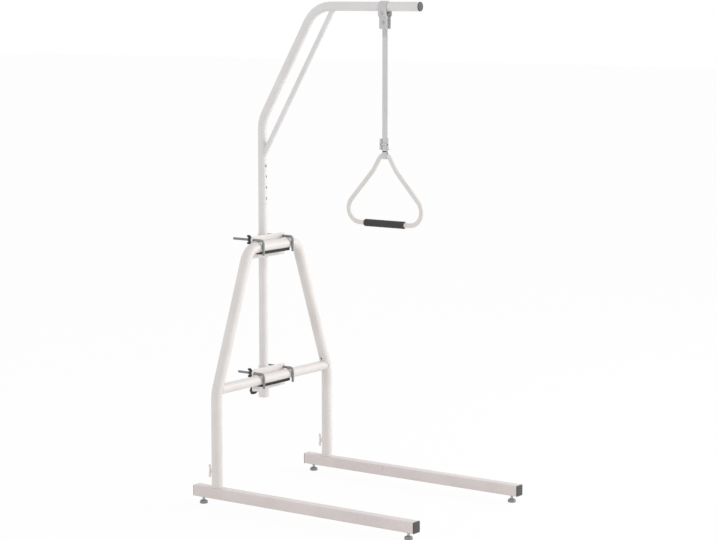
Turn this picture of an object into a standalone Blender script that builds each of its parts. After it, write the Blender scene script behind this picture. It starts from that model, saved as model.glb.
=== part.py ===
"""Freestanding trapeze: floor stand with an A-frame, a mast, a cranked boom and a hanging handle.

Metres, +Z up. +X runs from the A-frame to the front ends of the legs, and the origin is on the floor
under the middle of the whole stand. All sizes are set in the blocks at the top.
"""
from math import acos, atan2, ceil, cos, pi, radians, sin, sqrt, tan

import bmesh
import bpy
from mathutils import Matrix, Vector

# General
GAP = 0.0003  # clearance between pieces that touch
BEND_STEP = radians(12)  # angle of one facet along a bend
TUBE_SIDES = 20
BAR_SIDES = 14
ROD_SIDES = 10

# Legs
LEG_LENGTH = 0.914
LEG_SPACING = 0.633  # between the two legs' centre lines
LEG_SIDE = 0.0381
LEG_WALL = 0.002
LEG_CORNER_RADIUS = 0.004
LEG_PLUG_FLANGE = 0.003
LEG_PLUG_DEPTH = 0.018
PLUG_CHAMFER = 0.0012

# Glides under the legs
GLIDE_HEIGHT = 0.025  # floor to the underside of the leg
GLIDE_DIAMETER = 0.028
GLIDE_PAD_HEIGHT = 0.011
GLIDE_PAD_SIDE = 0.0066  # height of the pad's upright side
GLIDE_PAD_TOP_DIAMETER = 0.0224
GLIDE_PAD_CHAMFER = 0.001
GLIDE_PAD_DOME = 0.001  # rise of the pad's top at the stem
GLIDE_INSET = 0.029  # glide's axis from the end of the leg
GLIDE_STEM_DIAMETER = 0.010
GLIDE_STEM_RISE = 0.012  # stem above the leg's lower wall
GLIDE_COLLAR_DIAMETER = 0.016
GLIDE_COLLAR_HEIGHT = 0.003

# Round tubes
TUBE_WALL = 0.002
MAST_DIAMETER = 0.03175  # mast and boom

# A-frame
TUBE_DIAMETER = 0.0381
UPRIGHT_SETBACK = 0.0896  # uprights from the rear ends of the legs
LOWER_BEND_HEIGHT = 0.388  # where an upright's two straight lines would meet
LOWER_BEND_RADIUS = 0.120
TOP_TUBE_HEIGHT = 0.871
TOP_HALF_WIDTH = 0.137  # where the top tube's line meets the upright's
TOP_BEND_RADIUS = 0.060
CROSS_TUBE_HEIGHT = 0.402
CROSS_TUBE_DIAMETER = 0.0349
VENT_DIAMETER = 0.007
VENT_RISE = 0.026  # vent hole above the cross tube, on each upright's inner side
VENT_REACH = 0.0286  # how far the vent's drill goes out from the upright's axis

# Stubs on the legs, and the screws that lock the uprights on them
LEG_SPIGOT_LENGTH = 0.095
SPIGOT_WALL = 0.002
SCREW_RISE = 0.0545  # wing screw above the leg
SCREW_DIAMETER = 0.008
BOSS_DIAMETER = 0.015
BOSS_LENGTH = 0.004
BOSS_SINK = 0.0038  # how far its root goes into the upright's wall and bore
SCREW_HUB_DIAMETER = 0.013
SCREW_HUB_END_DIAMETER = 0.011
SCREW_HUB_LENGTH = 0.007
SCREW_WING_SPAN = 0.050
SCREW_WING_ROOT = 0.0104  # how far in from its tips a wing starts to narrow
SCREW_WING_REACH = 0.013  # wings behind the hub's front face
SCREW_STANDOFF = 0.002  # hub from the boss

# Brackets between A-frame and mast
SLEEVE_WALL = 0.002875
SLEEVE_FLOOR = 0.002
SLEEVE_DRAIN_DIAMETER = 0.008
LOWER_SLEEVE_DROP = 0.0755  # lower sleeve's end below the cross tube's centre
PLATE_THICKNESS = 0.0048
PLATE_WIDTH = 0.184
PLATE_RISE = 0.036  # above the clamped tube's centre
PLATE_DROP = 0.042  # below it
PLATE_CORNER_RADIUS = 0.006
PAD_INSET = 0.012  # pad's ends from the plate's
PAD_DROP = 0.006  # pad's underside below the clamped tube
PAD_TOP = radians(25)  # where the pad starts, down the back of the clamped tube
PAD_FRONT = radians(132)  # where its front face meets the tube, past its underside

# Hook bolts
HOOK_DIAMETER = 0.009
HOOK_EDGE = 0.009  # hook bolt's axis from the plate's end
HOOK_DROP = 0.028  # end of the hook below the clamped tube's centre
HOOK_BEND_RADIUS = 0.012
HOOK_CHAMFER = 0.0014
UPPER_HOOK_TAIL = 0.0661  # rear end behind the mast's axis
LOWER_HOOK_TAIL = 0.0482
WASHER_DIAMETER = 0.018
WASHER_THICKNESS = 0.0016
NUT_HUB_DIAMETER = 0.015
NUT_HUB_END_DIAMETER = 0.012
NUT_HUB_LENGTH = 0.016
NUT_WING_SPAN = 0.033
NUT_WING_ROOT = 0.0075
NUT_WING_REACH = 0.024
WING_BLADE = 0.003  # thickness of the blades on wing nuts and wing screws
WING_WAIST = 0.42  # blade's reach at the hub, as a share of its reach at the tips
WING_FOOT = 0.28  # where the blade starts behind the hub's front, as the same share
WING_HEEL = 0.45  # where it is widest
WING_SLANT = 0.6  # how far its tips lean in, as a share of the root

# Knob that locks the mast in the lower sleeve
KNOB_DROP = 0.058  # below the cross tube's centre
KNOB_DIAMETER = 0.028
KNOB_LENGTH = 0.020
KNOB_NECK_DIAMETER = 0.017
KNOB_NECK = 0.006  # from its front face to its full width
KNOB_LOBES = 6
KNOB_LOBE_DEPTH = 0.0012
KNOB_FRONT = 0.035  # knob's front face behind the mast's axis
KNOB_BORE_DEPTH = 0.012
KNOB_CHAMFER = 0.002
STUD_DIAMETER = 0.008

# Mast, its spigot and the snap button
JOINT_HEIGHT = 1.012  # top of the mast tube, where the boom tube starts
MAST_SPIGOT_BELOW = 0.120
MAST_SPIGOT_ABOVE = 0.218
HOLE_DIAMETER = 0.0095
HOLE_PITCH = 0.0381
HOLE_COUNT = 4
LOWEST_HOLE_RISE = 0.0215  # above the joint
BUTTON_PROUD = 0.0022
BUTTON_CHAMFER = 0.001
SPRING_STRIP = 0.0009
SPRING_WIDTH = 0.007
SPRING_DROP = 0.042  # bend of the V spring below the button
SPRING_BEND_RADIUS = 0.005
SPRING_RISE = 0.006  # ends of the spring above the button

# Boom
BOOM_HEIGHT = 1.7024
FIRST_BEND_HEIGHT = 1.3055
SECOND_BEND_REACH = 0.2330
BOOM_REACH = 0.6622
BOOM_BEND_RADIUS = 0.110
BRACE_DIAMETER = 0.01905
BRACE_WALL = 0.0015
BRACE_FOOT_HEIGHT = 1.1750  # where the brace's axis meets the mast's
BRACE_HEAD_REACH = 0.3136  # where it meets the boom's
BOOM_PLUG_FLANGE = 0.0025
BOOM_PLUG_DEPTH = 0.020

# Hanger on the boom
HANGER_REACH = 0.5219  # from the mast's axis
SADDLE_LENGTH = 0.032
SADDLE_NECK = 0.018  # between its two cheeks at the foot
SADDLE_THICKNESS = 0.003
SADDLE_SHOULDER = 0.0290  # below the boom's axis, where the cheeks turn in
SADDLE_NECK_DROP = 0.0365  # where they turn down again
SADDLE_BEND_RADIUS = 0.004
SADDLE_DROP = 0.074
HANGER_BOLT_DIAMETER = 0.006
HANGER_BOLT_HEAD = 0.010
HANGER_BOLT_HEAD_HEIGHT = 0.004
HANGER_BOLT_CHAMFER = 0.001
SADDLE_BOLT_DROP = 0.0215
RING_BOLT_DROP = 0.053
RING_WIRE = 0.004
RING_HEIGHT = 0.0203  # between the centre lines of its two level bars
RING_CORNER_RADIUS = 0.003

# Strap and its slide
STRAP_WIDTH = 0.020
STRAP_SIDE_PLAY = 0.0005
WEB_THICKNESS = 0.0019
STRAP_LENGTH = 0.4306  # ring's lower bar to the handle's level top
EYE_NECK = 0.018  # where the strap's two layers meet above the handle
RING_EYE_NECK = 0.010
SLIDE_WIDTH = 0.038
SLIDE_HEIGHT = 0.038
SLIDE_WALL = 0.0027
SLIDE_CORNER_RADIUS = 0.008
SLIDE_RISE = 0.0395  # its middle above the handle's top
SLIDE_BAR = 0.007

# Handle
HANDLE_DIAMETER = 0.016
HANDLE_WALL = 0.0015
HANDLE_HEIGHT = 0.2285
HANDLE_FOOT_HALF = 0.2075  # the three corners of a half, before rounding
HANDLE_SHOULDER_HALF = 0.0465
HANDLE_SHOULDER_HEIGHT = 0.1792
HANDLE_CROWN_HALF = 0.0167
HANDLE_CORNER_RADIUS = 0.047
HANDLE_SHOULDER_RADIUS = 0.120
HANDLE_CROWN_RADIUS = 0.013
HANDLE_SEAM = 0.001  # gap between the tube's ends, inside the grip
GRIP_LENGTH = 0.163
GRIP_DIAMETER = 0.0255
GRIP_CHAMFER = 0.003

# Places that follow from the sizes
X = Vector((1, 0, 0))
Y = Vector((0, 1, 0))
Z = Vector((0, 0, 1))
tube_r = TUBE_DIAMETER / 2
mast_r = MAST_DIAMETER / 2
cross_r = CROSS_TUBE_DIAMETER / 2
hook_r = HOOK_DIAMETER / 2
screw_r = SCREW_DIAMETER / 2
leg_spigot_r = tube_r - TUBE_WALL - GAP
mast_spigot_r = mast_r - TUBE_WALL - GAP
sleeve_r = mast_r + GAP + SLEEVE_WALL
handle_r = HANDLE_DIAMETER / 2
leg_y = LEG_SPACING / 2
leg_z = GLIDE_HEIGHT + LEG_SIDE / 2
leg_top = GLIDE_HEIGHT + LEG_SIDE
upright_x = UPRIGHT_SETBACK - LEG_LENGTH / 2
plate_x = upright_x - tube_r - GAP  # front faces of the bracket plates
mast_x = plate_x - PLATE_THICKNESS - GAP - sleeve_r
hook_y = PLATE_WIDTH / 2 - HOOK_EDGE
hanger_x = mast_x + HANGER_REACH
button_z = JOINT_HEIGHT + LOWEST_HOLE_RISE + (HOLE_COUNT - 1) * HOLE_PITCH
ring_bolt_z = BOOM_HEIGHT - RING_BOLT_DROP
ring_top_z = ring_bolt_z + HANGER_BOLT_DIAMETER / 2 + GAP + RING_WIRE / 2
ring_bar_z = ring_top_z - RING_HEIGHT
handle_top_z = ring_bar_z - STRAP_LENGTH
grip_z = handle_top_z - HANDLE_HEIGHT
front_x = LEG_LENGTH / 2 + LEG_PLUG_FLANGE
rear_x = min(-front_x, mast_x - max(UPPER_HOOK_TAIL, LOWER_HOOK_TAIL))
SIDES = (("near", -1), ("far", 1))


# Materials
def material(name, colour, roughness, metallic=0.0):
    """A Principled material of one colour."""
    made = bpy.data.materials.new(name)
    made.use_nodes = True
    shader = made.node_tree.nodes["Principled BSDF"]
    shader.inputs["Base Color"].default_value = (*colour, 1.0)
    shader.inputs["Roughness"].default_value = roughness
    shader.inputs["Metallic"].default_value = metallic
    return made


# Building shapes
def circle(centre, side, up, radius, sides):
    """Points of a circle in the plane of two directions."""
    turns = [2 * pi * i / sides for i in range(sides)]
    return [centre + (side * cos(a) + up * sin(a)) * radius for a in turns]


def rounded_path(corners, radii):
    """The line through the corners, with an arc of each given radius at the inner ones."""
    points = [corners[0]]
    for before, corner, after, radius in zip(corners, corners[1:], corners[2:], radii):
        back = (before - corner).normalized()
        ahead = (after - corner).normalized()
        turn = pi - back.angle(ahead)
        centre = corner + (back + ahead).normalized() * radius / cos(turn / 2)
        start = corner + back * radius * tan(turn / 2) - centre
        axis = back.cross(ahead).normalized()
        count = max(2, ceil(turn / BEND_STEP))
        for i in range(count + 1):
            points.append(centre + Matrix.Rotation(-turn * i / count, 3, axis) @ start)
    points.append(corners[-1])
    return points


def rings_along(path, normal, radius, sides, closed=False):
    """Circles square to a path that lies in the plane with this normal."""
    rings = []
    for i, point in enumerate(path):
        before = path[i - 1] if i or closed else point
        after = path[(i + 1) % len(path)] if i + 1 < len(path) or closed else point
        along = ((point - before).normalized() + (after - point).normalized()).normalized()
        rings.append(circle(point, normal, along.cross(normal), radius, sides))
    return rings


def turned_rings(profile, foot, axis, side, sides):
    """Circles of each (radius, distance) of a profile turned about an axis through foot."""
    up = axis.cross(side)
    return [circle(foot + axis * reach, side, up, radius, sides) for radius, reach in profile]


def loft(rings, closed=False):
    """A solid through rings of equal count: capped at both ends, or closed on itself."""
    shape = bmesh.new()
    loops = [[shape.verts.new(point) for point in ring] for ring in rings]
    pairs = list(zip(loops, loops[1:]))
    if closed:
        pairs.append((loops[-1], loops[0]))
    for first, second in pairs:
        for i, corner in enumerate(first):
            j = (i + 1) % len(first)
            shape.faces.new((corner, first[j], second[j], second[i]))
    if not closed:
        shape.faces.new(loops[0])
        shape.faces.new(loops[-1])
    bmesh.ops.recalc_face_normals(shape, faces=shape.faces)
    return shape


def tube(path, normal, diameter, wall, sides):
    """A hollow tube, open at both ends."""
    outer = rings_along(path, normal, diameter / 2, sides)
    inner = rings_along(path, normal, diameter / 2 - wall, sides)
    return loft(outer + inner[::-1], closed=True)


def bar(start, end, diameter, normal, sides):
    """A straight solid round bar."""
    return loft(rings_along([start, end], normal, diameter / 2, sides))


def ribbon(path, normal, thickness):
    """Outline of a strip of even thickness, bent along a path in the plane with this normal."""
    one, other = [], []
    for i, point in enumerate(path):
        before = path[max(i - 1, 0)]
        after = path[min(i + 1, len(path) - 1)]
        across = (after - before).normalized().cross(normal) * thickness / 2
        one.append(point + across)
        other.append(point - across)
    return one + other[::-1]


def prism(outline, direction):
    """A flat outline drawn out along a direction."""
    return loft([outline, [point + direction for point in outline]])


def box(low, high):
    """A box between two corners."""
    low, high = Vector(low), Vector(high)
    outline = [
        Vector((low.x, low.y, low.z)),
        Vector((high.x, low.y, low.z)),
        Vector((high.x, high.y, low.z)),
        Vector((low.x, high.y, low.z)),
    ]
    return prism(outline, Z * (high.z - low.z))


def rounded_rectangle(centre, side, up, width, height, radius, steps=3):
    """Points of a rectangle with round corners in the plane of two directions."""
    points = []
    for quarter, (sx, sy) in enumerate(((1, 1), (-1, 1), (-1, -1), (1, -1))):
        corner = centre + side * sx * (width / 2 - radius) + up * sy * (height / 2 - radius)
        for i in range(steps + 1):
            angle = (quarter + i / steps) * pi / 2
            points.append(corner + (side * cos(angle) + up * sin(angle)) * radius)
    return points


# Placing objects
for old in list(bpy.data.objects):
    bpy.data.objects.remove(old, do_unlink=True)
collection = bpy.context.scene.collection
stand = bpy.data.objects.new("stand", None)
stand.location.x = -(front_x + rear_x) / 2
collection.objects.link(stand)


def add(name, shape, finish, origin):
    """Puts a shape, drawn in the stand's own axes, in an object with this origin."""
    mesh = bpy.data.meshes.new(name)
    shape.transform(Matrix.Translation(-origin))
    shape.to_mesh(mesh)
    shape.free()
    if finish:
        mesh.materials.append(finish)
        mesh.shade_smooth()
        mesh.set_sharp_from_angle(angle=radians(35))
    made = bpy.data.objects.new(name, mesh)
    made.location = origin
    made.parent = stand
    collection.objects.link(made)
    return made


def carve(piece, shape, operation="DIFFERENCE"):
    """Cuts a shape from a piece, or joins it on, with a hidden tool object."""
    tool = add(piece.name + "_tool", shape, None, Vector())
    tool.hide_render = True
    tool.display_type = "WIRE"
    step = piece.modifiers.new(operation.title(), "BOOLEAN")
    step.operation = operation
    step.object = tool


paint = material("light grey paint", (0.62, 0.60, 0.60), 0.35)
plate_paint = material("light grey plate paint", (0.66, 0.64, 0.64), 0.4)
zinc = material("zinc plated steel", (0.55, 0.56, 0.58), 0.35, 1.0)
rod_steel = material("plated rod", (0.42, 0.43, 0.45), 0.4, 1.0)
spring_steel = material("spring steel", (0.35, 0.36, 0.38), 0.35, 1.0)
black_plastic = material("black plastic", (0.025, 0.025, 0.027), 0.5)
grey_plastic = material("grey plastic", (0.22, 0.22, 0.225), 0.5)
black_rubber = material("black rubber", (0.02, 0.02, 0.02), 0.8)
webbing = material("grey webbing", (0.42, 0.42, 0.43), 0.9)


# Legs, with a hole below for each glide's stem, and their end plugs
def square_ring(x, y, side, radius):
    return rounded_rectangle(Vector((x, y, leg_z)), Y, Z, side, side, radius)


def leg(label, way):
    y = way * leg_y
    half = LEG_LENGTH / 2
    bore = LEG_SIDE - 2 * LEG_WALL
    bore_radius = LEG_CORNER_RADIUS - LEG_WALL / 2
    rings = [
        square_ring(-half, y, LEG_SIDE, LEG_CORNER_RADIUS),
        square_ring(half, y, LEG_SIDE, LEG_CORNER_RADIUS),
        square_ring(half, y, bore, bore_radius),
        square_ring(-half, y, bore, bore_radius),
    ]
    made = add("leg_" + label, loft(rings, closed=True), paint, Vector((0, y, leg_z)))
    for end, sign in (("rear", -1), ("front", 1)):
        leg_plug(label, end, sign, y, bore, bore_radius)
        foot = Vector((sign * (half - GLIDE_INSET), y, 0))
        reach = foot + Z * (GLIDE_HEIGHT + LEG_WALL * 2)
        carve(made, bar(foot, reach, GLIDE_STEM_DIAMETER + 2 * GAP, Y, ROD_SIDES))
        glide("glide_foot_" + end + "_" + label, foot)


def leg_plug(label, end, sign, y, bore, bore_radius):
    face = sign * (LEG_LENGTH / 2 + LEG_PLUG_FLANGE)
    seat = sign * (LEG_LENGTH / 2 + GAP)
    deep = sign * (LEG_LENGTH / 2 - LEG_PLUG_DEPTH)
    insert = bore - 2 * GAP
    rings = [
        square_ring(face, y, LEG_SIDE - 2 * PLUG_CHAMFER, LEG_CORNER_RADIUS - PLUG_CHAMFER),
        square_ring(face - sign * PLUG_CHAMFER, y, LEG_SIDE, LEG_CORNER_RADIUS),
        square_ring(seat, y, LEG_SIDE, LEG_CORNER_RADIUS),
        square_ring(seat, y, insert, bore_radius),
        square_ring(deep, y, insert, bore_radius),
    ]
    add(f"leg_plug_{end}_{label}", loft(rings), black_plastic, Vector((seat, y, leg_z)))


def glide(name, foot):
    """A glide: a low round pad on a stem that goes up into the leg."""
    pad_r = GLIDE_DIAMETER / 2
    stem_r = GLIDE_STEM_DIAMETER / 2
    collar_top = GLIDE_HEIGHT - GAP
    profile = [
        (pad_r - GLIDE_PAD_CHAMFER, 0),
        (pad_r, GLIDE_PAD_CHAMFER),
        (pad_r, GLIDE_PAD_SIDE),
        (GLIDE_PAD_TOP_DIAMETER / 2, GLIDE_PAD_HEIGHT),
        (stem_r, GLIDE_PAD_HEIGHT + GLIDE_PAD_DOME),
        (stem_r, collar_top - GLIDE_COLLAR_HEIGHT),
        (GLIDE_COLLAR_DIAMETER / 2, collar_top - GLIDE_COLLAR_HEIGHT),
        (GLIDE_COLLAR_DIAMETER / 2, collar_top),
        (stem_r, collar_top),
        (stem_r, GLIDE_HEIGHT + LEG_WALL + GLIDE_STEM_RISE),
    ]
    rings = turned_rings(profile, foot, Z, X, BAR_SIDES)
    add(name, loft(rings), grey_plastic, foot)


# Stubs on the legs, and the wing screws that lock the uprights on them
def wing_blade(hub_front, reach, span, root, rise, across):
    """A pair of wings behind a hub that rise from its axis, in shares of their reach."""
    tip = span / 2
    outline = [
        (WING_FOOT, root - tip),
        (WING_HEEL, -tip),
        (1.0, root * WING_SLANT - tip),
        (WING_WAIST, 0),
        (1.0, tip - root * WING_SLANT),
        (WING_HEEL, tip),
        (WING_FOOT, tip - root),
    ]
    foot = hub_front - across * WING_BLADE / 2
    points = [foot - X * reach * share + rise * out for share, out in outline]
    return prism(points, across * WING_BLADE)


def upright_lock(label, way):
    y = way * leg_y
    base = Vector((upright_x, y, leg_top + GAP))
    spigot = tube([base, base + Z * LEG_SPIGOT_LENGTH], Y, leg_spigot_r * 2, SPIGOT_WALL, TUBE_SIDES)
    add("leg_spigot_" + label, spigot, zinc, base)
    axis = Vector((upright_x, y, leg_top + SCREW_RISE))
    boss_back = tube_r + GAP + BOSS_LENGTH
    bore_r = screw_r + GAP
    boss_profile = [
        (BOSS_DIAMETER / 2, tube_r - BOSS_SINK),
        (BOSS_DIAMETER / 2, boss_back),
        (bore_r, boss_back),
        (bore_r, tube_r - BOSS_SINK),
    ]
    boss = loft(turned_rings(boss_profile, axis, -X, Y, BAR_SIDES), closed=True)
    made = add("upright_boss_" + label, boss, paint, axis)
    reach = Z * BOSS_DIAMETER
    carve(made, bar(axis - reach, axis + reach, (tube_r + GAP) * 2, Y, TUBE_SIDES))
    hub_front = boss_back + SCREW_STANDOFF
    hub_r = SCREW_HUB_DIAMETER / 2
    screw_profile = [
        (screw_r, leg_spigot_r + GAP),
        (screw_r, hub_front),
        (hub_r, hub_front),
        (SCREW_HUB_END_DIAMETER / 2, hub_front + SCREW_HUB_LENGTH),
    ]
    screw = loft(turned_rings(screw_profile, axis, -X, Y, BAR_SIDES))
    made = add("upright_screw_" + label, screw, zinc, axis)
    hub = axis - X * hub_front
    blade = wing_blade(hub, SCREW_WING_REACH, SCREW_WING_SPAN, SCREW_WING_ROOT, Z, Y)
    carve(made, blade, "UNION")


# A-frame: one bent tube, with the holes for the lock screws and a vent on each inner side
def upright_y(height):
    """Where the sloping part of the far upright stands at a height."""
    slope = (leg_y - TOP_HALF_WIDTH) / (TOP_TUBE_HEIGHT - LOWER_BEND_HEIGHT)
    return leg_y - slope * (height - LOWER_BEND_HEIGHT)


def upright_corners(way):
    """Corners of one upright's centre line, from its foot to the top tube."""
    return [
        Vector((upright_x, way * leg_y, leg_top + GAP)),
        Vector((upright_x, way * leg_y, LOWER_BEND_HEIGHT)),
        Vector((upright_x, way * TOP_HALF_WIDTH, TOP_TUBE_HEIGHT)),
    ]


def a_frame():
    corners = upright_corners(1) + upright_corners(-1)[::-1]
    radii = [LOWER_BEND_RADIUS, TOP_BEND_RADIUS, TOP_BEND_RADIUS, LOWER_BEND_RADIUS]
    shape = tube(rounded_path(corners, radii), X, TUBE_DIAMETER, TUBE_WALL, TUBE_SIDES)
    made = add("a_frame_tube", shape, paint, Vector((upright_x, 0, leg_top + GAP)))
    for _, way in SIDES:
        middle = Vector((upright_x, way * leg_y, leg_top + SCREW_RISE))
        carve(made, bar(middle - X * tube_r * 2, middle, SCREW_DIAMETER + 2 * GAP, Y, ROD_SIDES))
        vent_z = CROSS_TUBE_HEIGHT + VENT_RISE
        vent = Vector((upright_x, way * upright_y(vent_z), vent_z))
        carve(made, bar(vent, vent - Y * way * VENT_REACH, VENT_DIAMETER, X, ROD_SIDES))


def cross_tube():
    end = Vector((upright_x, upright_y(CROSS_TUBE_HEIGHT), CROSS_TUBE_HEIGHT))
    other = Vector((end.x, -end.y, end.z))
    shape = tube([other, end], X, CROSS_TUBE_DIAMETER, TUBE_WALL, TUBE_SIDES)
    middle = Vector((upright_x, 0, CROSS_TUBE_HEIGHT))
    made = add("cross_tube", shape, paint, middle)
    for _, way in SIDES:
        path = rounded_path(upright_corners(way), [LOWER_BEND_RADIUS])
        carve(made, loft(rings_along(path, X, tube_r + GAP, TUBE_SIDES)))


# Brackets: a sleeve round the mast, a plate welded on its front, a rubber pad and two hook bolts
def bracket(level, height, clamped_r, tail):
    arm_z = height + clamped_r + GAP + hook_r
    bracket_plate(level + "_bracket_plate", height, arm_z)
    saddle_pad(level + "_saddle_pad", height, clamped_r)
    for label, way in SIDES:
        hook(f"{level}_{label}", way * hook_y, height, clamped_r, arm_z, tail)


def bracket_plate(name, height, arm_z):
    back = plate_x - PLATE_THICKNESS
    centre = Vector((back, 0, height + (PLATE_RISE - PLATE_DROP) / 2))
    tall = PLATE_RISE + PLATE_DROP
    outline = rounded_rectangle(centre, Y, Z, PLATE_WIDTH, tall, PLATE_CORNER_RADIUS)
    made = add(name, prism(outline, X * PLATE_THICKNESS), plate_paint, centre)
    for _, way in SIDES:
        hole = Vector((back - PLATE_THICKNESS, way * hook_y, arm_z))
        through = hole + X * PLATE_THICKNESS * 3
        carve(made, bar(hole, through, HOOK_DIAMETER + 2 * GAP, Y, ROD_SIDES))


def saddle_pad(name, height, clamped_r):
    """Rubber wedge on the plate's front that the clamped tube rests on."""
    width = PLATE_WIDTH - 2 * PAD_INSET
    centre = Vector((upright_x, -width / 2, height))
    bed_r = clamped_r + GAP
    back = plate_x + GAP - upright_x
    foot = -clamped_r - PAD_DROP
    steps = ceil((PAD_FRONT - PAD_TOP) / BEND_STEP)
    turns = [PAD_TOP + (PAD_FRONT - PAD_TOP) * i / steps for i in range(steps + 1)]
    points = [(back, foot), (back, -bed_r * sin(PAD_TOP))]
    points += [(-bed_r * cos(a), -bed_r * sin(a)) for a in turns]
    points.append((-bed_r * cos(PAD_FRONT), foot))
    outline = [centre + X * x + Z * z for x, z in points]
    add(name, prism(outline, Y * width), black_rubber, centre)


def hook(name, y, height, clamped_r, arm_z, tail):
    front = upright_x + clamped_r + GAP + hook_r
    end = mast_x - tail
    corners = [
        Vector((end, y, arm_z)),
        Vector((front, y, arm_z)),
        Vector((front, y, height - HOOK_DROP)),
    ]
    path = rounded_path(corners, [HOOK_BEND_RADIUS])
    rings = rings_along(path, Y, hook_r, ROD_SIDES)
    rings[0] = circle(corners[0] + X * HOOK_CHAMFER, Y, Z, hook_r, ROD_SIDES)
    rings.insert(0, circle(corners[0], Y, Z, hook_r - HOOK_CHAMFER, ROD_SIDES))
    add("hook_bolt_" + name, loft(rings), rod_steel, Vector((end, y, arm_z)))
    plate_back = Vector((plate_x - PLATE_THICKNESS - GAP, y, arm_z))
    bore_r = hook_r + GAP
    washer_r = WASHER_DIAMETER / 2
    washer = [(bore_r, 0), (washer_r, 0), (washer_r, WASHER_THICKNESS), (bore_r, WASHER_THICKNESS)]
    rings = turned_rings(washer, plate_back, -X, Y, BAR_SIDES)
    add("hook_washer_" + name, loft(rings, closed=True), zinc, plate_back)
    seat = plate_back - X * (WASHER_THICKNESS + GAP)
    hub_r = NUT_HUB_DIAMETER / 2
    hub = [(bore_r, 0), (hub_r, 0), (NUT_HUB_END_DIAMETER / 2, NUT_HUB_LENGTH), (bore_r, NUT_HUB_LENGTH)]
    rings = turned_rings(hub, seat, -X, Y, BAR_SIDES)
    nut = add("wing_nut_" + name, loft(rings, closed=True), black_plastic, seat)
    # on the near side the wings stand upright, on the far side they lie level
    rise, across = (Z, Y) if y < 0 else (Y, Z)
    blade = wing_blade(seat, NUT_WING_REACH, NUT_WING_SPAN, NUT_WING_ROOT, rise, across)
    carve(nut, blade, "UNION")
    carve(nut, bar(seat + X * GAP, seat - X * NUT_WING_REACH * 1.2, bore_r * 2, Y, BAR_SIDES))


# Sleeves: the upper one is open, the lower one has a floor that the mast stands on
def upper_sleeve():
    low = Vector((mast_x, 0, TOP_TUBE_HEIGHT - PLATE_DROP))
    high = Vector((mast_x, 0, TOP_TUBE_HEIGHT + PLATE_RISE))
    shape = tube([low, high], Y, sleeve_r * 2, SLEEVE_WALL, TUBE_SIDES)
    add("upper_mast_sleeve", shape, plate_paint, low)


def lower_sleeve():
    low = Vector((mast_x, 0, CROSS_TUBE_HEIGHT - LOWER_SLEEVE_DROP))
    bore_r = sleeve_r - SLEEVE_WALL
    height = LOWER_SLEEVE_DROP + PLATE_RISE
    drain_r = SLEEVE_DRAIN_DIAMETER / 2
    profile = [(drain_r, 0), (sleeve_r, 0), (sleeve_r, height), (bore_r, height)]
    profile += [(bore_r, SLEEVE_FLOOR), (drain_r, SLEEVE_FLOOR)]
    shape = loft(turned_rings(profile, low, Z, Y, TUBE_SIDES), closed=True)
    made = add("lower_mast_sleeve", shape, plate_paint, low)
    hole = Vector((mast_x - sleeve_r * 1.5, 0, CROSS_TUBE_HEIGHT - KNOB_DROP))
    carve(made, bar(hole, hole + X * sleeve_r, STUD_DIAMETER + 2 * GAP, Y, ROD_SIDES))


# Knob and stud that lock the mast in the lower sleeve
def mast_lock():
    axis = Vector((mast_x, 0, CROSS_TUBE_HEIGHT - KNOB_DROP))
    stud_r = STUD_DIAMETER / 2
    stud_end = KNOB_FRONT + KNOB_BORE_DEPTH - GAP
    start = axis - X * (mast_r + GAP)
    add("mast_lock_stud", bar(start, axis - X * stud_end, stud_r * 2, Y, ROD_SIDES), zinc, axis)
    grip_r = KNOB_DIAMETER / 2
    back = KNOB_FRONT + KNOB_LENGTH
    profile = [
        (stud_r + GAP, KNOB_FRONT + KNOB_BORE_DEPTH, 0),
        (stud_r + GAP, KNOB_FRONT, 0),
        (KNOB_NECK_DIAMETER / 2, KNOB_FRONT, 0),
        (grip_r - KNOB_CHAMFER, KNOB_FRONT + KNOB_NECK, KNOB_LOBE_DEPTH / 2),
        (grip_r, KNOB_FRONT + KNOB_NECK + KNOB_CHAMFER, KNOB_LOBE_DEPTH),
        (grip_r, back - KNOB_CHAMFER, KNOB_LOBE_DEPTH),
        (grip_r - KNOB_CHAMFER, back, KNOB_LOBE_DEPTH / 2),
    ]
    sides = KNOB_LOBES * 4
    rings = []
    for radius, reach, lobe in profile:
        ring = []
        for i in range(sides):
            angle = 2 * pi * i / sides
            out = radius + lobe * cos(KNOB_LOBES * angle)
            ring.append(axis - X * reach + (Y * cos(angle) + Z * sin(angle)) * out)
        rings.append(ring)
    add("mast_lock_knob", loft(rings), black_plastic, axis)


# Mast, the spigot in its top, and the snap button with its spring
def mast():
    foot = Vector((mast_x, 0, CROSS_TUBE_HEIGHT - LOWER_SLEEVE_DROP + SLEEVE_FLOOR + GAP))
    top = Vector((mast_x, 0, JOINT_HEIGHT))
    add("mast_tube", tube([foot, top], Y, MAST_DIAMETER, TUBE_WALL, TUBE_SIDES), paint, foot)
    low = top - Z * MAST_SPIGOT_BELOW
    high = top + Z * MAST_SPIGOT_ABOVE
    made = add("mast_spigot", tube([low, high], Y, mast_spigot_r * 2, SPIGOT_WALL, TUBE_SIDES), zinc, low)
    hole = Vector((mast_x, 0, button_z))
    carve(made, bar(hole, hole + X * mast_r, HOLE_DIAMETER, Y, BAR_SIDES))


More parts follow.
